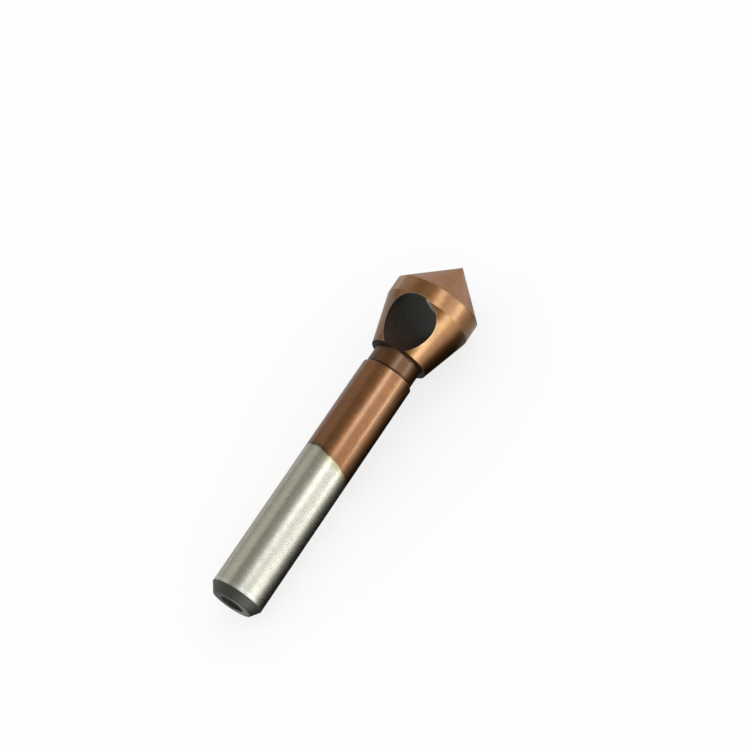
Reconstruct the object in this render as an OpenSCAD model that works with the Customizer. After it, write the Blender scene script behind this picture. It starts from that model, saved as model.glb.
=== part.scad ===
// Cross-hole countersink bit for countersinking and deburring drilled holes.
// One bar of steel is turned to a shank, a neck and a tapered head. An oblique chip hole through the
// head leaves the cutting edge where it breaks out of the cone, and the cone is ground off-centre so
// that its surface falls away behind that edge.
// The tool lies on a flat surface, on its head and on the rear end of its shank, with the heavier side
// down, so the rear mouth of the chip hole faces up. +X points along it towards the cone's point.

/* [Whole tool] */
// Length from the rear end of the shank to the cone's point
overall_length = 45; // [42:0.5:60]

/* [Shank] */
// Diameter of the cylindrical shank that the chuck holds
shank_diameter = 6; // [6:0.1:7.5]
// Length of the chamfer round the shank's rear end
rear_chamfer_length = 1; // [0.4:0.1:2]
// Depth of that chamfer, measured in from the shank's surface
rear_chamfer_depth = 0.7; // [0.3:0.1:1]
// Width of the chamfer at the shank's front shoulder
shoulder_chamfer = 0.15; // [0.05:0.05:0.2]

/* [Centre drilling] */
// Diameter of the centre drilling's mouth in the rear end face
centre_mouth_diameter = 2.8; // [2:0.1:3.4]
// Full angle of the drilling's cone
centre_angle = 60; // [60:5:90]
// Diameter of the pilot drilling beyond the cone
centre_pilot_diameter = 1.2; // [0.8:0.1:1.8]
// Length of the pilot drilling
centre_pilot_length = 1.3; // [0.5:0.1:3]
// Full angle that the drill's point leaves at the bottom of the pilot drilling
drill_point_angle = 118; // [90:2:140]

/* [Neck] */
// Diameter of the neck between shank and head
neck_diameter = 5.5; // [4.6:0.1:5.6]
// Length of the neck, from the shank's shoulder to the head
neck_length = 2.2; // [1:0.1:4]

/* [Head] */
// Largest diameter of the head
head_diameter = 10; // [9.6:0.1:11]
// Full angle of the cone
point_angle = 90; // [82:1:100]
// Length of the cylindrical land behind the cone
land_length = 2.1; // [1.2:0.1:4]
// Length of the taper from the land back to the neck
taper_length = 5.7; // [4.5:0.1:6.2]
// Angle between the taper's surface and the tool's axis
taper_angle = 16; // [8:0.5:17]

/* [Chip hole] */
// Diameter of the chip hole
hole_diameter = 5.6; // [4.6:0.1:5.7]
// Angle between the chip hole and the tool's axis
hole_angle = 43; // [42:1:48]
// Distance that the hole crosses the tool's axis behind the cone's rim
hole_setback = 0.7; // [0.5:0.1:2]

/* [Cutting relief] */
// Distance that the cone is ground off the tool's axis
relief_offset = 0.2; // [0.05:0.05:0.3]
// Turn of that offset from the front mouth towards the cutting edge, which makes a right-hand cutter
relief_turn = 45; // [0:5:60]

/* [Hidden] */
$fn = 96;

shank_radius = shank_diameter / 2;
head_radius = head_diameter / 2;
neck_radius = neck_diameter / 2;
rear_face_radius = shank_radius - rear_chamfer_depth;

// Stations along the tool, from the rear end face forwards
rim_station = overall_length - head_radius / tan(point_angle / 2);
taper_front = rim_station - land_length;
taper_rear = taper_front - taper_length;
neck_rear = taper_rear - neck_length;
shoulder_rear = neck_rear - shoulder_chamfer;
taper_rear_radius = head_radius - taper_length * tan(taper_angle);

// The blank runs this far past the point before the cone is ground
blank_spare = 2;
// A cut runs this far past the surface that it opens
overcut = 1;

centre_mouth_radius = centre_mouth_diameter / 2;
centre_pilot_radius = centre_pilot_diameter / 2;
centre_cone_length = (centre_mouth_radius - centre_pilot_radius) / tan(centre_angle / 2);
pilot_end = centre_cone_length + centre_pilot_length;
pilot_tip = pilot_end + centre_pilot_radius / tan(drill_point_angle / 2);

hole_station = rim_station - hole_setback;
// Long enough to leave the head on both sides at any angle in its range
hole_reach = 2 * head_diameter;

// Turn about its own axis at which the tool comes to rest, with its heavier side straight down
rest_turn = 6;
// Turn of the blank about its axis, so that flats of its facets meet the floor and not their corners
blank_turn = -26;
// Lying on the head and on the rear end of the shank tips the point up by this angle
rest_angle = atan((head_radius - shank_radius) / (taper_front - rear_chamfer_length));
rest_height = shank_radius * cos(rest_angle) - rear_chamfer_length * sin(rest_angle);
// Ends of the lying tool along X, where the offset cone carries the point a little down
rear_reach = -rear_face_radius * sin(rest_angle);
point_drop = relief_offset * cos(relief_turn - rest_turn);
front_reach = overall_length * cos(rest_angle) + point_drop * sin(rest_angle);

module turned_blank() {
    rotate_extrude()
        polygon([
            [0, 0],
            [rear_face_radius, 0],
            [shank_radius, rear_chamfer_length],
            [shank_radius, shoulder_rear],
            [shank_radius - shoulder_chamfer, neck_rear],
            [neck_radius, neck_rear],
            [neck_radius, taper_rear],
            [taper_rear_radius, taper_rear],
            [head_radius, taper_front],
            [head_radius, overall_length + blank_spare],
            [0, overall_length + blank_spare]
        ]);
}

module centre_drilling() {
    rotate_extrude()
        polygon([
            [0, -overcut],
            [centre_mouth_radius + overcut * tan(centre_angle / 2), -overcut],
            [centre_pilot_radius, centre_cone_length],
            [centre_pilot_radius, pilot_end],
            [0, pilot_tip]
        ]);
}

// Everything inside the ground cone, with its axis offset for the relief behind the cutting edge
module ground_cone() {
    cone_depth = overall_length + overcut;
    translate([relief_offset * cos(relief_turn), -relief_offset * sin(relief_turn), overall_length])
        rotate_extrude()
            polygon([
                [0, 0],
                [0, -cone_depth],
                [cone_depth * tan(point_angle / 2), -cone_depth]
            ]);
}

// The front mouth opens low in the cone, and the rear mouth high in the taper
module chip_hole() {
    translate([0, 0, hole_station])
        rotate([0, hole_angle, 0])
            cylinder(h = 2 * hole_reach, d = hole_diameter, center = true);
}

module tool_along_z() {
    difference() {
        intersection() {
            rotate([0, 0, blank_turn])
                turned_blank();
            ground_cone();
        }
        centre_drilling();
        chip_hole();
    }
}

module countersink_bit() {
    color("peru")
        translate([-(rear_reach + front_reach) / 2, 0, rest_height])
            rotate([0, 90 - rest_angle, 0])
                rotate([0, 0, rest_turn])
                    tool_along_z();
}

countersink_bit();
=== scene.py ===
"""Looks, light and camera for a cross-hole countersink bit that lies on a pale floor."""

import math
from types import SimpleNamespace

import bpy
from mathutils import Matrix, Vector

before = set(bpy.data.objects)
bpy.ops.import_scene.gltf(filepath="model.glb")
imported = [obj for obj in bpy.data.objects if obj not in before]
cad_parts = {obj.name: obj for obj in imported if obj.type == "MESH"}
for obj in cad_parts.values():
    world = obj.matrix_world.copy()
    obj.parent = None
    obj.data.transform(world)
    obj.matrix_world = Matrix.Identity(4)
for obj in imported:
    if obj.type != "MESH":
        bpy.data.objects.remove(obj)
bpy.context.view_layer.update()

MM = 0.001

# Sizes of the tool, in millimetres, as in the part's source
LENGTH = 45.0
SHANK_RADIUS = 3.0
REAR_CHAMFER_LENGTH = 1.0
REAR_CHAMFER_DEPTH = 0.7
SHOULDER_CHAMFER = 0.15
CENTRE_MOUTH_RADIUS = 1.4
NECK_LENGTH = 2.2
HEAD_RADIUS = 5.0
POINT_HALF_ANGLE = math.radians(45.0)
LAND_LENGTH = 2.1
TAPER_LENGTH = 5.7
HOLE_RADIUS = 2.8
HOLE_ANGLE = math.radians(43.0)
HOLE_SETBACK = 0.7
RELIEF_OFFSET = 0.2
RELIEF_TURN = math.radians(45.0)
REST_TURN = math.radians(6.0)

# Stations along the tool, from its rear end face forwards
RIM = LENGTH - HEAD_RADIUS / math.tan(POINT_HALF_ANGLE)
TAPER_FRONT = RIM - LAND_LENGTH
TAPER_REAR = TAPER_FRONT - TAPER_LENGTH
NECK_REAR = TAPER_REAR - NECK_LENGTH
SHOULDER_REAR = NECK_REAR - SHOULDER_CHAMFER
HOLE_STATION = RIM - HOLE_SETBACK

# The lying tool: its tilt, the middle of its rear end face, its axis, and the ways that the rear mouth of
# the chip hole and the cutting side look
REST_ANGLE = math.atan2(HEAD_RADIUS - SHANK_RADIUS, TAPER_FRONT - REAR_CHAMFER_LENGTH)
REST_HEIGHT = SHANK_RADIUS * math.cos(REST_ANGLE) - REAR_CHAMFER_LENGTH * math.sin(REST_ANGLE)
REAR_REACH = -(SHANK_RADIUS - REAR_CHAMFER_DEPTH) * math.sin(REST_ANGLE)
POINT_DROP = RELIEF_OFFSET * math.cos(RELIEF_TURN - REST_TURN)
FRONT_REACH = LENGTH * math.cos(REST_ANGLE) + POINT_DROP * math.sin(REST_ANGLE)
REAR_CENTRE = Vector((-(REAR_REACH + FRONT_REACH) / 2, 0.0, REST_HEIGHT))
AXIS = Vector((math.cos(REST_ANGLE), 0.0, math.sin(REST_ANGLE)))
SPIN = Matrix.Rotation(REST_TURN, 3, AXIS)
MOUTH_SIDE = SPIN @ Vector((-math.sin(REST_ANGLE), 0.0, math.cos(REST_ANGLE)))
CUT_SIDE = SPIN @ Vector((0.0, -1.0, 0.0))

WHITE = (1.0, 1.0, 1.0)
# Noises stay mostly between these values
NOISE_RANGE = (0.3, 0.7)


class Nodes:
    """Builds one material: each call adds a node to it and gives the node's output."""

    def __init__(self, name):
        self.material = bpy.data.materials.new(name)
        self.material.use_nodes = True
        self.tree = self.material.node_tree
        self.tree.nodes.clear()

    def node(self, kind, **settings):
        made = self.tree.nodes.new(kind)
        for key, value in settings.items():
            setattr(made, key, value)
        return made

    def plug(self, socket, value):
        if isinstance(value, bpy.types.NodeSocket):
            self.tree.links.new(value, socket)
        else:
            socket.default_value = value

    def plug_all(self, sockets, values):
        for socket, value in zip(sockets, values):
            self.plug(socket, value)

    def math(self, operation, first, *others):
        """Works through its values from the first, two at a time."""
        total = first
        for value in others:
            made = self.node("ShaderNodeMath", operation=operation)
            self.plug_all(made.inputs, (total, value))
            total = made.outputs[0]
        return total

    def add(self, *values):
        return self.math("ADD", *values)

    def minus(self, first, second):
        return self.math("SUBTRACT", first, second)

    def times(self, *values):
        return self.math("MULTIPLY", *values)

    def highest(self, *values):
        return self.math("MAXIMUM", *values)

    def outside(self, mask):
        return self.minus(1.0, mask)

    def size_of(self, value):
        made = self.node("ShaderNodeMath", operation="ABSOLUTE")
        self.plug(made.inputs[0], value)
        return made.outputs[0]

    def length_of(self, first, second):
        made = self.node("ShaderNodeMath", operation="SQRT")
        self.plug(made.inputs[0], self.add(self.times(first, first), self.times(second, second)))
        return made.outputs[0]

    def vector(self, operation, output, *values):
        made = self.node("ShaderNodeVectorMath", operation=operation)
        self.plug_all(made.inputs, values)
        return made.outputs[output]

    def combine(self, x, y, z):
        made = self.node("ShaderNodeCombineXYZ")
        self.plug_all(made.inputs, (x, y, z))
        return made.outputs[0]

    def map_range(self, value, start, goal, kind="SMOOTHSTEP"):
        made = self.node("ShaderNodeMapRange", interpolation_type=kind)
        sockets = [made.inputs[key] for key in ("Value", "From Min", "From Max", "To Min", "To Max")]
        self.plug_all(sockets, (value, *start, *goal))
        return made.outputs["Result"]

    def rise(self, value, blend, edge=0.0):
        """From 0 to 1 over a blend, whose two ends are counted from an edge."""
        return self.map_range(value, (edge + blend[0], edge + blend[1]), (0.0, 1.0))

    def fall(self, value, blend, edge=0.0):
        """From 1 to 0 over a blend, whose two ends are counted from an edge."""
        return self.map_range(value, (edge + blend[0], edge + blend[1]), (1.0, 0.0))

    def spread(self, noise, goal):
        return self.map_range(noise, NOISE_RANGE, goal, "LINEAR")

    def plug_colour(self, socket, value):
        self.plug(socket, value if isinstance(value, bpy.types.NodeSocket) else (*value, 1.0))

    def mix_colour(self, factor, first, second):
        made = self.node("ShaderNodeMix", data_type="RGBA")
        self.plug(made.inputs["Factor"], factor)
        self.plug_colour(made.inputs[6], first)
        self.plug_colour(made.inputs[7], second)
        return made.outputs[2]

    def mix_value(self, factor, first, second):
        made = self.node("ShaderNodeMix", data_type="FLOAT")
        self.plug_all((made.inputs[0], made.inputs[2], made.inputs[3]), (factor, first, second))
        return made.outputs[0]

    def noise(self, place, scale, detail, roughness=0.5):
        made = self.node("ShaderNodeTexNoise")
        sockets = [made.inputs[key] for key in ("Vector", "Scale", "Detail", "Roughness")]
        self.plug_all(sockets, (place, scale, detail, roughness))
        return made.outputs["Fac"]

    def broken_line(self, value, stops, top):
        """A line through stops of (place from 0 to 1, height from 0 to top)."""
        made = self.node("ShaderNodeValToRGB")
        line = made.color_ramp
        line.interpolation = "LINEAR"
        while len(line.elements) > 1:
            line.elements.remove(line.elements[-1])
        line.elements[0].position = stops[0][0]
        for place, _ in stops[1:]:
            line.elements.new(place)
        for element, (_, height) in zip(line.elements, stops):
            grey = height / top
            element.color = (grey, grey, grey, 1.0)
        self.plug(made.inputs["Fac"], value)
        return self.times(made.outputs["Color"], top)

    def world_place(self):
        place = self.node("ShaderNodeNewGeometry").outputs["Position"]
        parts = self.node("ShaderNodeSeparateXYZ")
        self.plug(parts.inputs[0], self.vector("MULTIPLY", "Vector", place, (1 / MM, 1 / MM, 1 / MM)))
        return SimpleNamespace(x=parts.outputs[0], y=parts.outputs[1], z=parts.outputs[2])

    def finish(self, shader):
        out = self.node("ShaderNodeOutputMaterial")
        self.tree.links.new(shader.outputs[0], out.inputs["Surface"])
        return self.material

    def finish_emission(self, strength, colour=WHITE):
        shader = self.node("ShaderNodeEmission")
        self.plug_colour(shader.inputs["Color"], colour)
        self.plug(shader.inputs["Strength"], strength)
        return self.finish(shader)


# Colours of the tool, from the bare steel at its rear to the coated cone, with painted highlights and
# painted shade among them
STEEL = (0.80, 0.775, 0.70)
STRAW = (0.62, 0.58, 0.35)
OLIVE = (0.055, 0.045, 0.022)
COPPER = (0.335, 0.118, 0.024)
HEAD_GOLD = (0.36, 0.14, 0.025)
# The neck's own darker brown, darkened further as painted shade from the head and shoulder
NECK_BROWN = (0.165, 0.068, 0.022)
CONE_BROWN = (0.32, 0.13, 0.037)
FLECK = (0.62, 0.26, 0.09)
# Painted highlight: a thin bluish white line on the shank just past the rear chamfer
EDGE_WHITE = (0.93, 0.95, 1.0)
# Painted shade: the rear chamfer is painted dark grey, on top of the dark that it mirrors
BLACKENED = (0.25, 0.257, 0.24)
END_GREY = (0.19, 0.19, 0.183)
# Painted shade: the head's rear face, which faces backwards, is near black
REAR_FACE_GREY = (0.02, 0.024, 0.02)
# Painted shade: the chip hole's wall and the centre drilling are near black, the hole browner at its
# front
HOLE_GREY = (0.028, 0.0295, 0.019)
HOLE_BROWN = (0.036, 0.0175, 0.0085)
# Painted highlight: a light rim round the chip hole's mouth
LIP_WORN = (0.52, 0.44, 0.34)
# Painted shade: a dark brown line under the cone's rim, on the cutting side only
RIM_BROWN = (0.09, 0.035, 0.012)
# Painted highlight: a pinkish white line on the shoulder chamfer, on the cutting side only
WORN_PINK = (0.85, 0.62, 0.55)

# Noises over the tool: features per millimetre, detail and roughness. A shift in millimetres keeps two
# noises from having their bright places together.
LINES_ALONG = 9.0
LINES_AROUND = 0.35
LINES_NOISE = (1.0, 3.0)
MOTTLE_NOISE = (1.6, 4.0, 0.6)
GRIT_NOISE = (7.0, 3.0, 0.6)
WAVES_NOISE = (1.3, 1.0)
FLECK_NOISE = (2.6, 1.0)
FLECK_SHIFT = 5.0
BLOTCH_NOISE = (0.8, 3.0, 0.65)
BLOTCH_SHIFT = 9.0
WANDER_NOISE = (0.7, 6.0, 0.62)
# Flecks show where their noise is high
FLECK_BLEND = (0.73, 0.77)

# The line where the coating ends: its station, its climb per millimetre up and sideways, and its wander
COATING_END = 18.0
COATING_CLIMB = 0.15
COATING_SLANT = -0.2
COATING_WANDER = 0.6
COATING_BLEND = (-0.16, 0.16)
FRINGE_BLEND = (-1.1, 0.1)
SCORCH_START = (-0.2, 0.1)
SCORCH_STOP = (0.15, 0.55)
NEAR_SIDE_BLEND = (-0.3, 1.2)

# Blends at the shank's and the neck's edges, in millimetres past each edge. A blend named for a side is
# counted sideways from the tool's axis.
EDGE_START = (0.05, 0.2)
EDGE_STOP = (0.35, 0.6)
BAND_STOP = (-0.02, 0.1)
END_FACE_BLEND = (0.01, 0.03)
CENTRE_BLEND = (-0.02, 0.02)
# The centre drilling is painted dark, as painted shade, down to this depth
CENTRE_DEPTH = 5.0
CENTRE_DEPTH_BLEND = (0.0, 0.1)
CHAMFER_START = (-0.03, 0.0)
CHAMFER_STOP = (-0.02, 0.0)
CHAMFER_SIDE = (1.3, 2.3)
NECK_STOP = (0.0, 0.02)
FOOT_START = (-0.02, 0.0)
FOOT_STOP = (0.1, 0.3)

# Blends at the head's edges, in the same way
REAR_FACE_START = (-0.03, -0.02)
REAR_FACE_STOP = (0.02, 0.03)
HOLE_BLEND = (0.01, 0.03)
HOLE_START = (-0.01, 0.01)
LIP_BLEND = (0.04, 0.14)
LIP_START = (0.0, 0.05)
CONE_BLEND = (0.03, 0.07)
CONE_START = (-0.6, -0.5)
UNDER_RIM_BLEND = (0.05, 0.3)
UNDER_RIM_START = (-2.0, -1.0)
UNDER_RIM_SIDE = (1.0, 3.5)

# The painted shade in the chip hole is browner in its front, past a slanting and mottled line
SOOT_BLEND = (35.0, 38.0)
SOOT_SLANT = 0.5
SOOT_MOTTLE = 2.0

# How much of each coat covers what lies under it, where it isn't whole
FLECK_COVER = 0.6
FOOT_COVER = 0.85
EDGE_COVER = 0.7
LIP_COVER = 0.35
UNDER_RIM_COVER = 0.6
FRINGE_COVER = (0.25, 1.0)
SCORCH_COVER = (0.75, 0.2)

# What the noises do to the colour's brightness
BLOTCH_SHADE = (0.88, 1.12)
MOTTLE_SHADE = (0.92, 1.08)
LINES_SHADE = (0.95, 1.05)
GRIT_SHADE = (-0.1, 0.1)
HOLE_SHADE = (0.65, 1.35)

# Roughness by region, and how far grit moves it
STEEL_ROUGHNESS = 0.27
COATING_ROUGHNESS = 0.32
NECK_ROUGHNESS = 0.42
CONE_ROUGHNESS = 0.45
DULL_ROUGHNESS = 0.55
GRIT_ROUGHNESS = (-0.03, 0.03)

# The coating's clear glaze is thinner on the neck, and thinner still on the cone and at the neck's foot
NECK_GLAZE = 0.5
CONE_GLAZE = 0.2
GLAZE_ROUGHNESS = 0.18
GLAZE_INDEX = 1.75
DULL_GLOSS = 0.25

# Heights of the bump's noises, and the size of a step of 1
STEEL_WAVES = 0.7
COATING_WAVES = 2.4
LINES_HEIGHT = 0.2
GRIT_HEIGHT = 0.08
BUMP_HEIGHT = 0.008


def find_places(nodes):
    """Station along the tool, and distances from its axis up, towards the cutting side and outwards."""
    place = nodes.node("ShaderNodeTexCoord").outputs["Object"]
    away = nodes.vector("SUBTRACT", "Vector", place, tuple(REAR_CENTRE * MM))

    def along(direction):
        return nodes.times(nodes.vector("DOT_PRODUCT", "Value", away, tuple(direction)), 1 / MM)

    at = SimpleNamespace(station=along(AXIS), up=along(MOUTH_SIDE), cut=along(CUT_SIDE))
    at.radius = nodes.length_of(at.up, at.cut)
    return at


def find_grain(nodes, at):
    """Fine turned lines round the tool, and noises of several sizes."""
    around = (nodes.times(at.up, LINES_AROUND), nodes.times(at.cut, LINES_AROUND))
    turned = nodes.combine(nodes.times(at.station, LINES_ALONG), *around)
    even = nodes.combine(at.station, at.up, at.cut)
    shifted_up = nodes.combine(at.station, nodes.add(at.up, FLECK_SHIFT), at.cut)
    shifted_sideways = nodes.combine(at.station, at.up, nodes.add(at.cut, BLOTCH_SHIFT))
    return SimpleNamespace(
        lines=nodes.noise(turned, *LINES_NOISE),
        mottle=nodes.noise(even, *MOTTLE_NOISE),
        grit=nodes.noise(even, *GRIT_NOISE),
        waves=nodes.noise(even, *WAVES_NOISE),
        flecks=nodes.noise(shifted_up, *FLECK_NOISE),
        blotch=nodes.noise(shifted_sideways, *BLOTCH_NOISE),
        wander=nodes.noise(nodes.combine(0.0, at.up, at.cut), *WANDER_NOISE),
    )


def mask_coating(nodes, at, grain, on):
    """The coating, and the straw and dark fringe where it meets the bare steel on an uneven line."""
    wander = nodes.times(nodes.minus(grain.wander, 0.5), COATING_WANDER)
    slant = nodes.add(nodes.times(at.up, COATING_CLIMB), nodes.times(at.cut, COATING_SLANT))
    past_line = nodes.minus(at.station, nodes.add(slant, wander, COATING_END))
    near_side = nodes.rise(at.cut, NEAR_SIDE_BLEND)
    on.coating = nodes.rise(past_line, COATING_BLEND)
    fringe = nodes.rise(past_line, FRINGE_BLEND)
    scorch = nodes.times(nodes.rise(past_line, SCORCH_START), nodes.fall(past_line, SCORCH_STOP))
    on.fringe = nodes.times(fringe, nodes.mix_value(near_side, *FRINGE_COVER))
    on.scorch = nodes.times(scorch, nodes.mix_value(near_side, *SCORCH_COVER))


def mask_shank_and_neck(nodes, at, on):
    """The end face, the centre drilling, the neck, and the narrow bands at the edges between them, with
    painted highlights and painted shade among them.
    """

    def band(start, start_edge, stop, stop_edge):
        begun = nodes.rise(at.station, start, start_edge)
        return nodes.times(begun, nodes.fall(at.station, stop, stop_edge))

    on.end_face = nodes.fall(at.station, END_FACE_BLEND)
    on.rear_chamfer = nodes.fall(at.station, BAND_STOP, REAR_CHAMFER_LENGTH)
    # A painted highlight on the shank just past the rear chamfer
    on.bright_edge = band(EDGE_START, REAR_CHAMFER_LENGTH, EDGE_STOP, REAR_CHAMFER_LENGTH)
    # Painted shade in the centre drilling
    on.centre = nodes.times(
        nodes.fall(at.radius, CENTRE_BLEND, CENTRE_MOUTH_RADIUS),
        band(END_FACE_BLEND, 0.0, CENTRE_DEPTH_BLEND, CENTRE_DEPTH),
    )
    # A painted highlight on the shoulder chamfer, on the cutting side only
    on.shoulder = nodes.times(
        band(CHAMFER_START, SHOULDER_REAR, CHAMFER_STOP, NECK_REAR),
        nodes.rise(at.cut, CHAMFER_SIDE),
    )
    on.neck = band((0.0, SHOULDER_CHAMFER), SHOULDER_REAR, NECK_STOP, TAPER_REAR)
    # Painted shade: a dark line at the neck's foot, in the crease by the shoulder
    on.neck_foot = band(FOOT_START, NECK_REAR, FOOT_STOP, NECK_REAR)
    # Painted shade on the head's rear face
    on.rear_face = band(REAR_FACE_START, TAPER_REAR, REAR_FACE_STOP, TAPER_REAR)


def mask_head(nodes, at, grain, on):
    """The chip hole's wall in painted shade with a painted highlight on its lip, the ground cone, and the
    painted shade line under the cone's rim.
    """
    from_crossing = nodes.times(nodes.minus(at.station, HOLE_STATION), math.sin(HOLE_ANGLE))
    across_hole = nodes.add(from_crossing, nodes.times(at.up, math.cos(HOLE_ANGLE)))
    from_hole = nodes.length_of(across_hole, at.cut)
    # Painted shade on the chip hole's wall
    on.hole = nodes.times(
        nodes.fall(from_hole, HOLE_BLEND, HOLE_RADIUS),
        nodes.rise(at.station, HOLE_START, TAPER_REAR),
    )
    # A painted highlight on the rim round the chip hole's mouth
    on.lip = nodes.times(
        nodes.fall(from_hole, LIP_BLEND, HOLE_RADIUS),
        nodes.rise(at.station, LIP_START, TAPER_REAR),
        nodes.outside(on.hole),
    )
    soot_slant = nodes.times(at.cut, SOOT_SLANT)
    soot_mottle = nodes.times(grain.mottle, SOOT_MOTTLE)
    on.soot = nodes.rise(nodes.add(at.station, soot_slant, soot_mottle), SOOT_BLEND)

    cone_up = nodes.add(at.up, RELIEF_OFFSET * math.cos(RELIEF_TURN))
    cone_cut = nodes.add(at.cut, -RELIEF_OFFSET * math.sin(RELIEF_TURN))
    under_cone = nodes.minus(nodes.minus(LENGTH, at.station), nodes.length_of(cone_up, cone_cut))
    on.cone = nodes.times(nodes.fall(under_cone, CONE_BLEND), nodes.rise(at.station, CONE_START, RIM))
    # Painted shade under the cone's rim, on the cutting side only
    on.under_rim = nodes.times(
        nodes.fall(under_cone, UNDER_RIM_BLEND),
        nodes.outside(on.cone),
        nodes.rise(at.station, UNDER_RIM_START, RIM),
        nodes.rise(at.cut, UNDER_RIM_SIDE),
    )


def paint(nodes, at, grain, on):
    """The colour by region, each coat over the ones before it; some coats are painted highlights and
    painted shade.
    """
    brown = nodes.mix_colour(nodes.rise(at.station, (0.0, NECK_LENGTH), NECK_REAR), COPPER, HEAD_GOLD)
    flecked = nodes.times(nodes.rise(grain.flecks, FLECK_BLEND), FLECK_COVER)
    brown = nodes.mix_colour(flecked, brown, FLECK)
    colour = nodes.mix_colour(on.coating, nodes.mix_colour(on.fringe, STEEL, STRAW), brown)
    coats = [
        (on.scorch, OLIVE),
        (on.neck, NECK_BROWN),
        (nodes.times(on.neck_foot, FOOT_COVER), HOLE_BROWN),
        (on.cone, CONE_BROWN),
        (nodes.times(on.bright_edge, EDGE_COVER), EDGE_WHITE),
        (on.rear_chamfer, BLACKENED),
        (on.end_face, END_GREY),
        (on.centre, HOLE_GREY),
        (on.hole, nodes.mix_colour(on.soot, HOLE_BROWN, HOLE_GREY)),
        (nodes.times(on.lip, LIP_COVER), LIP_WORN),
        (nodes.times(on.under_rim, UNDER_RIM_COVER), RIM_BROWN),
        (on.shoulder, WORN_PINK),
        (on.rear_face, REAR_FACE_GREY),
    ]
    for mask, coat in coats:
        colour = nodes.mix_colour(mask, colour, coat)

    grit = nodes.mix_value(on.coating, 0.0, nodes.spread(grain.grit, GRIT_SHADE))
    shade = nodes.times(
        nodes.mix_value(on.coating, 1.0, nodes.spread(grain.blotch, BLOTCH_SHADE)),
        nodes.spread(grain.mottle, MOTTLE_SHADE),
        nodes.add(grit, 1.0),
        nodes.spread(grain.lines, LINES_SHADE),
    )
    shade = nodes.mix_value(on.hole, shade, nodes.spread(grain.mottle, HOLE_SHADE))
    tone = nodes.node("ShaderNodeHueSaturation")
    nodes.plug(tone.inputs["Value"], shade)
    nodes.plug(tone.inputs["Color"], colour)
    return tone.outputs["Color"]


def bump_surface(nodes, grain, on):
    height = nodes.add(
        nodes.times(grain.waves, nodes.mix_value(on.coating, STEEL_WAVES, COATING_WAVES)),
        nodes.times(grain.lines, LINES_HEIGHT),
        nodes.times(grain.grit, GRIT_HEIGHT),
    )
    bump = nodes.node("ShaderNodeBump")
    bump.inputs["Strength"].default_value = 1.0
    bump.inputs["Distance"].default_value = BUMP_HEIGHT * MM
    nodes.plug(bump.inputs["Height"], height)
    return bump.outputs["Normal"]


def steel_material():
    nodes = Nodes("ground_and_coated_steel")
    at = find_places(nodes)
    grain = find_grain(nodes, at)
    on = SimpleNamespace()
    mask_coating(nodes, at, grain, on)
    mask_shank_and_neck(nodes, at, on)
    mask_head(nodes, at, grain, on)

    # The hole, the centre drilling and the head's rear face are dull, and the rear chamfer is as rough
    dull = nodes.highest(on.hole, on.centre, on.rear_face)
    rough = nodes.mix_value(on.coating, STEEL_ROUGHNESS, COATING_ROUGHNESS)
    rough = nodes.mix_value(on.neck, rough, NECK_ROUGHNESS)
    rough = nodes.mix_value(on.cone, rough, CONE_ROUGHNESS)
    rough = nodes.mix_value(nodes.highest(dull, on.rear_chamfer), rough, DULL_ROUGHNESS)
    rough = nodes.add(rough, nodes.spread(grain.grit, GRIT_ROUGHNESS))
    glaze = nodes.times(
        on.coating,
        nodes.outside(dull),
        nodes.mix_value(on.neck, 1.0, NECK_GLAZE),
        nodes.mix_value(nodes.highest(on.cone, on.neck_foot), 1.0, CONE_GLAZE),
    )

    shader = nodes.node("ShaderNodeBsdfPrincipled")
    nodes.plug(shader.inputs["Base Color"], paint(nodes, at, grain, on))
    nodes.plug(shader.inputs["Metallic"], nodes.outside(dull))
    nodes.plug(shader.inputs["Roughness"], rough)
    nodes.plug(shader.inputs["Coat Weight"], glaze)
    nodes.plug(shader.inputs["Normal"], bump_surface(nodes, grain, on))
    shader.inputs["Specular IOR Level"].default_value = DULL_GLOSS
    shader.inputs["Coat Roughness"].default_value = GLAZE_ROUGHNESS
    shader.inputs["Coat IOR"].default_value = GLAZE_INDEX
    return nodes.finish(shader)


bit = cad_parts["countersink_bit"]
bit.data.materials.clear()
bit.data.materials.append(steel_material())
for face in bit.data.polygons:
    face.use_smooth = True


def staged_mesh(name, points, faces, material):
    """Adds a piece of the studio, with its points in millimetres."""
    mesh = bpy.data.meshes.new(name)
    mesh.from_pydata([tuple(MM * value for value in point) for point in points], [], faces)
    made = bpy.data.objects.new(name, mesh)
    mesh.materials.append(material)
    bpy.context.scene.collection.objects.link(made)
    return made


def sheet(name, half_length, y_low, y_high, z, material):
    near_edge = [(-half_length, y_low, z), (half_length, y_low, z)]
    far_edge = [(half_length, y_high, z), (-half_length, y_high, z)]
    return staged_mesh(name, near_edge + far_edge, [(0, 1, 2, 3)], material)


def show_in_reflections_only(made):
    made.visible_camera = False
    made.visible_diffuse = False
    made.visible_transmission = False
    made.visible_shadow = False


# The floor is white to the camera and in reflections, by its own glow, and keeps a faint shadow
FLOOR_HALF = 3000.0
FLOOR_GLOW = 0.75
FLOOR_WHITE = 0.245
FLOOR_ROUGHNESS = 0.9
# The glow fades into a painted shadow where the chip hole shows the floor: along X, and towards a line
# along X from both sides
SHADE_START = (15.0, 18.0)
SHADE_STOP = (19.8, 22.0)
SHADE_MIDDLE = 2.8
SHADE_BESIDE = (0.6, 2.3)


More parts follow.
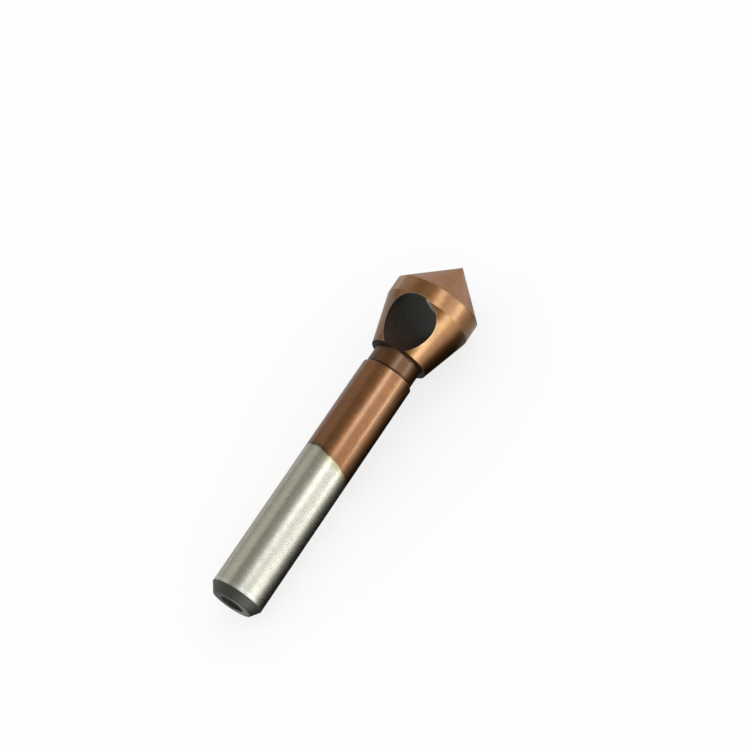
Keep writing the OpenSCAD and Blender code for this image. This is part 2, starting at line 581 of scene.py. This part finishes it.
def floor_material():
    nodes = Nodes("pale_floor")
    paths = nodes.node("ShaderNodeLightPath").outputs
    seen = nodes.highest(paths["Is Camera Ray"], paths["Is Glossy Ray"], paths["Is Transmission Ray"])
    place = nodes.world_place()
    # A painted shadow on the floor under the head, seen through the chip hole
    shade = nodes.times(
        nodes.fall(nodes.size_of(nodes.minus(place.y, SHADE_MIDDLE)), SHADE_BESIDE),
        nodes.rise(place.x, SHADE_START),
        nodes.fall(place.x, SHADE_STOP),
    )
    shader = nodes.node("ShaderNodeBsdfPrincipled")
    shader.inputs["Base Color"].default_value = (FLOOR_WHITE, FLOOR_WHITE, FLOOR_WHITE, 1.0)
    shader.inputs["Roughness"].default_value = FLOOR_ROUGHNESS
    shader.inputs["Specular IOR Level"].default_value = 0.0
    nodes.plug_colour(shader.inputs["Emission Color"], WHITE)
    nodes.plug(shader.inputs["Emission Strength"], nodes.times(seen, nodes.outside(shade), FLOOR_GLOW))
    return nodes.finish(shader)


sheet("floor", FLOOR_HALF, -FLOOR_HALF, FLOOR_HALF, 0.0, floor_material())

# A light tent over the tool, seen only in its reflections. Angles go from the horizon at -Y over the
# zenith to the horizon at +Y, and each list gives brightness along that arc, where 1 is white.
TENT_RADIUS = 140.0
TENT_HALF_LENGTH = 300.0
TENT_LIFT = 3.0
TENT_FOOT = -3.0
TENT_SPAN = 186.0
TENT_STEPS = 96
ARC_START = -10.0
ARC_END = 190.0
ARC_TOP = 88.0
BRIGHTEST = 6.0
OVER_TAPER = [
    (-10, 1.2), (0, 1.4), (5, 1.9), (9, 2.8), (14, 3.8), (18, 4.3), (23, 4.1), (28, 1.8),
    (33, 0.7), (38, 0.18), (44, 0.12), (118, 0.15), (150, 0.38), (190, 0.33),
]
OVER_STEEL = [
    (-10, 0.86), (-2, 0.9), (10, 0.8), (18, 0.74), (30, 0.77), (44, 0.86), (52, 1.08), (66, 1.14),
    (72, 0.95), (79, 0.5), (90, 0.32), (118, 0.21), (123, 0.5), (145, 0.5), (165, 0.36), (180, 0.22),
    (190, 0.2),
]
OVER_COPPER = [
    (-10, 0.85), (-5, 0.85), (-3, 4.2), (8, 4.2), (10, 1.0), (30, 0.95), (47, 1.15), (52, 2.0),
    (57, 3.7), (67, 3.7), (69, 1.3), (73, 1.0), (79, 0.52), (90, 0.31), (118, 0.21), (123, 0.38),
    (145, 0.4), (165, 0.33), (180, 0.22), (190, 0.22),
]
OVER_NECK = [
    (-10, 0.6), (-3, 0.4), (2, 0.2), (8, 0.15), (12, 0.15), (30, 0.3), (50, 1.1), (57, 2.7),
    (66, 2.5), (71, 0.85), (80, 0.42), (90, 0.25), (118, 0.16), (123, 0.3), (165, 0.3), (190, 0.34),
]
OVER_LAND = [
    (-10, 1.0), (-4, 2.0), (0, 3.3), (7, 4.1), (12, 3.8), (16, 3.0), (24, 2.0), (32, 1.8),
    (39, 1.6), (46, 0.9), (54, 0.9), (58, 2.4), (70, 2.3), (73, 1.2), (78, 0.72), (85, 0.42),
    (92, 0.38), (100, 0.43), (108, 0.4), (117, 0.27), (125, 0.34), (134, 0.28), (140, 0.58),
    (154, 0.58), (166, 0.55), (190, 0.46),
]
# Where one list gives way to the next along X
STEEL_START = (-12.0, -6.0)
COPPER_START = (25.6, 28.1)
NECK_START = (43.0, 45.0)
LAND_START = (47.0, 52.0)
STEEL_DIMMING = (10.0, 23.0)
STEEL_LEVEL = (1.06, 0.8)
# Past both ends the tent is even
REAR_END = (-150.0, -70.0)
REAR_LEVEL = 0.12
FRONT_END = (72.0, 90.0)
FRONT_LEVEL = 0.8
# The light is warm where it is dim, and a little green where it is bright
DIM_TINT = (1.0, 0.99, 0.85)
DIM_BLEND = (0.3, 0.9)
BRIGHT_TINT = (0.98, 1.1, 0.95)
BRIGHT_BLEND = (1.5, 2.8)
# What one ring of the tool mirrors lies farther along the tent at the sides than on top, by so many
# millimetres for each square radian from the top
RING_LEAN = 3.6


def tent_material():
    nodes = Nodes("light_tent")
    place = nodes.world_place()
    arc = nodes.math("ARCTAN2", nodes.minus(place.z, TENT_LIFT), nodes.times(place.y, -1.0))
    arc_limits = (math.radians(ARC_START), math.radians(ARC_END))
    fraction = nodes.map_range(arc, arc_limits, (0.0, 1.0), "LINEAR")
    from_top = nodes.minus(arc, math.radians(ARC_TOP))
    ring = nodes.minus(place.x, nodes.times(from_top, from_top, RING_LEAN))

    def over(stops):
        placed = [((angle - ARC_START) / (ARC_END - ARC_START), height) for angle, height in stops]
        return nodes.broken_line(fraction, placed, BRIGHTEST)

    over_steel = nodes.times(over(OVER_STEEL), nodes.map_range(place.x, STEEL_DIMMING, STEEL_LEVEL))
    total = nodes.mix_value(nodes.rise(place.x, STEEL_START), over(OVER_TAPER), over_steel)
    total = nodes.mix_value(nodes.rise(ring, COPPER_START), total, over(OVER_COPPER))
    total = nodes.mix_value(nodes.rise(ring, NECK_START), total, over(OVER_NECK))
    total = nodes.mix_value(nodes.rise(ring, LAND_START), total, over(OVER_LAND))
    total = nodes.mix_value(nodes.rise(place.x, REAR_END), REAR_LEVEL, total)
    total = nodes.mix_value(nodes.rise(place.x, FRONT_END), total, FRONT_LEVEL)
    tint = nodes.mix_colour(nodes.rise(total, DIM_BLEND), DIM_TINT, WHITE)
    tint = nodes.mix_colour(nodes.rise(total, BRIGHT_BLEND), tint, BRIGHT_TINT)
    return nodes.finish_emission(total, tint)


def build_tent():
    points = []
    for index in range(TENT_STEPS + 1):
        arc = math.radians(TENT_FOOT + TENT_SPAN * index / TENT_STEPS)
        y = -TENT_RADIUS * math.cos(arc)
        z = max(TENT_RADIUS * math.sin(arc) + TENT_LIFT, 0.0)
        points += [(-TENT_HALF_LENGTH, y, z), (TENT_HALF_LENGTH, y, z)]
    roof = [(first, first + 1, first + 3, first + 2) for first in range(0, 2 * TENT_STEPS, 2)]
    rear_wall = tuple(range(0, 2 * TENT_STEPS + 2, 2))
    front_wall = tuple(range(2 * TENT_STEPS + 1, 0, -2))
    tent = staged_mesh("light_tent", points, [*roof, rear_wall, front_wall], tent_material())
    show_in_reflections_only(tent)


build_tent()

# Two cards on the floor, seen only in the tool's reflections. On the camera's side each list gives
# brightness by distance from the tool: dark at its foot, and lighter farther out.
# The near card's dark foot is a painted shadow of the tool on the floor, seen only in reflections
CARD_LIFT = 0.02
CARD_GAP = 1.0
CARD_BRIGHTEST = 1.5
CARD_SPAN = 80.0
BY_SHANK = [(0, 0.0), (5, 0.01), (8, 0.09), (15, 0.36), (22, 0.6), (30, 0.8), (45, 0.93), (80, 0.95)]
BY_TAPER = [(0, 0.0), (9, 0.01), (12, 0.05), (15, 0.26), (19, 0.52), (26, 0.85), (40, 1.15), (80, 1.35)]
BY_LAND = [(0, 0.4), (5, 0.4), (11, 0.34), (23, 0.5), (40, 1.0), (80, 1.2)]
# Where one list gives way to the next along X, and the even level past them
SHANK_BRIGHTENING = (-1.0, 3.0)
SHANK_LEVEL = (1.0, 1.1)
CARD_TAPER_START = (8.0, 10.0)
CARD_LAND_START = (14.5, 18.5)
CARD_FRONT_END = (23.0, 28.0)
CARD_FRONT_LEVEL = 0.92
FAR_CARD_BLEND = (22.0, 34.0)
FAR_CARD_LEVEL = (0.42, 0.88)


def near_card_material():
    nodes = Nodes("near_card")
    place = nodes.world_place()
    outwards = nodes.times(place.y, -1 / CARD_SPAN)

    def beside(stops):
        placed = [(distance / CARD_SPAN, height) for distance, height in stops]
        return nodes.broken_line(outwards, placed, CARD_BRIGHTEST)

    by_shank = nodes.times(beside(BY_SHANK), nodes.map_range(place.x, SHANK_BRIGHTENING, SHANK_LEVEL))
    total = nodes.mix_value(nodes.rise(place.x, CARD_TAPER_START), by_shank, beside(BY_TAPER))
    total = nodes.mix_value(nodes.rise(place.x, CARD_LAND_START), total, beside(BY_LAND))
    total = nodes.mix_value(nodes.rise(place.x, CARD_FRONT_END), total, CARD_FRONT_LEVEL)
    return nodes.finish_emission(total, nodes.mix_colour(nodes.rise(total, DIM_BLEND), DIM_TINT, WHITE))


def far_card_material():
    nodes = Nodes("far_card")
    forwards = nodes.rise(nodes.world_place().x, FAR_CARD_BLEND)
    return nodes.finish_emission(nodes.mix_value(forwards, *FAR_CARD_LEVEL))


def lay_card(name, y_low, y_high, material):
    show_in_reflections_only(sheet(name, TENT_HALF_LENGTH, y_low, y_high, CARD_LIFT, material))


lay_card("near_card", -TENT_RADIUS, -CARD_GAP, near_card_material())
lay_card("far_card", CARD_GAP, TENT_RADIUS, far_card_material())

# An even white world lights the floor and fills the shade
world = bpy.data.worlds.new("studio")
bpy.context.scene.world = world
world.use_nodes = True
sky = world.node_tree.nodes["Background"]
sky.inputs["Color"].default_value = (*WHITE, 1.0)
sky.inputs["Strength"].default_value = 1.0

# The camera looks down on the lying tool from behind its rear end, in millimetres and degrees
CAMERA_TARGET = Vector((8.831, 3.687, 0.0))
CAMERA_DISTANCE = 275.759
CAMERA_AZIMUTH = -127.183
CAMERA_ELEVATION = 56.228
CAMERA_ROLL = -21.895
CAMERA_LENS = 120.932
CAMERA_SENSOR = 36.0
CAMERA_NEAR = 0.01
CAMERA_FAR = 20.0


def add_camera():
    azimuth = math.radians(CAMERA_AZIMUTH)
    elevation = math.radians(CAMERA_ELEVATION)
    flat = math.cos(elevation)
    back = Vector((flat * math.cos(azimuth), flat * math.sin(azimuth), math.sin(elevation)))
    level = Vector((0.0, 0.0, 1.0)).cross(back).normalized()
    right = Matrix.Rotation(math.radians(CAMERA_ROLL), 3, back) @ level
    up = back.cross(right)
    data = bpy.data.cameras.new("camera")
    data.sensor_width = CAMERA_SENSOR
    data.lens = CAMERA_LENS
    data.clip_start = CAMERA_NEAR
    data.clip_end = CAMERA_FAR
    camera = bpy.data.objects.new("camera", data)
    bpy.context.scene.collection.objects.link(camera)
    place = (CAMERA_TARGET + CAMERA_DISTANCE * back) * MM
    camera.matrix_world = Matrix.Translation(place) @ Matrix((right, up, back)).transposed().to_4x4()
    bpy.context.scene.camera = camera


add_camera()
bpy.context.scene.view_settings.view_transform = "Standard"
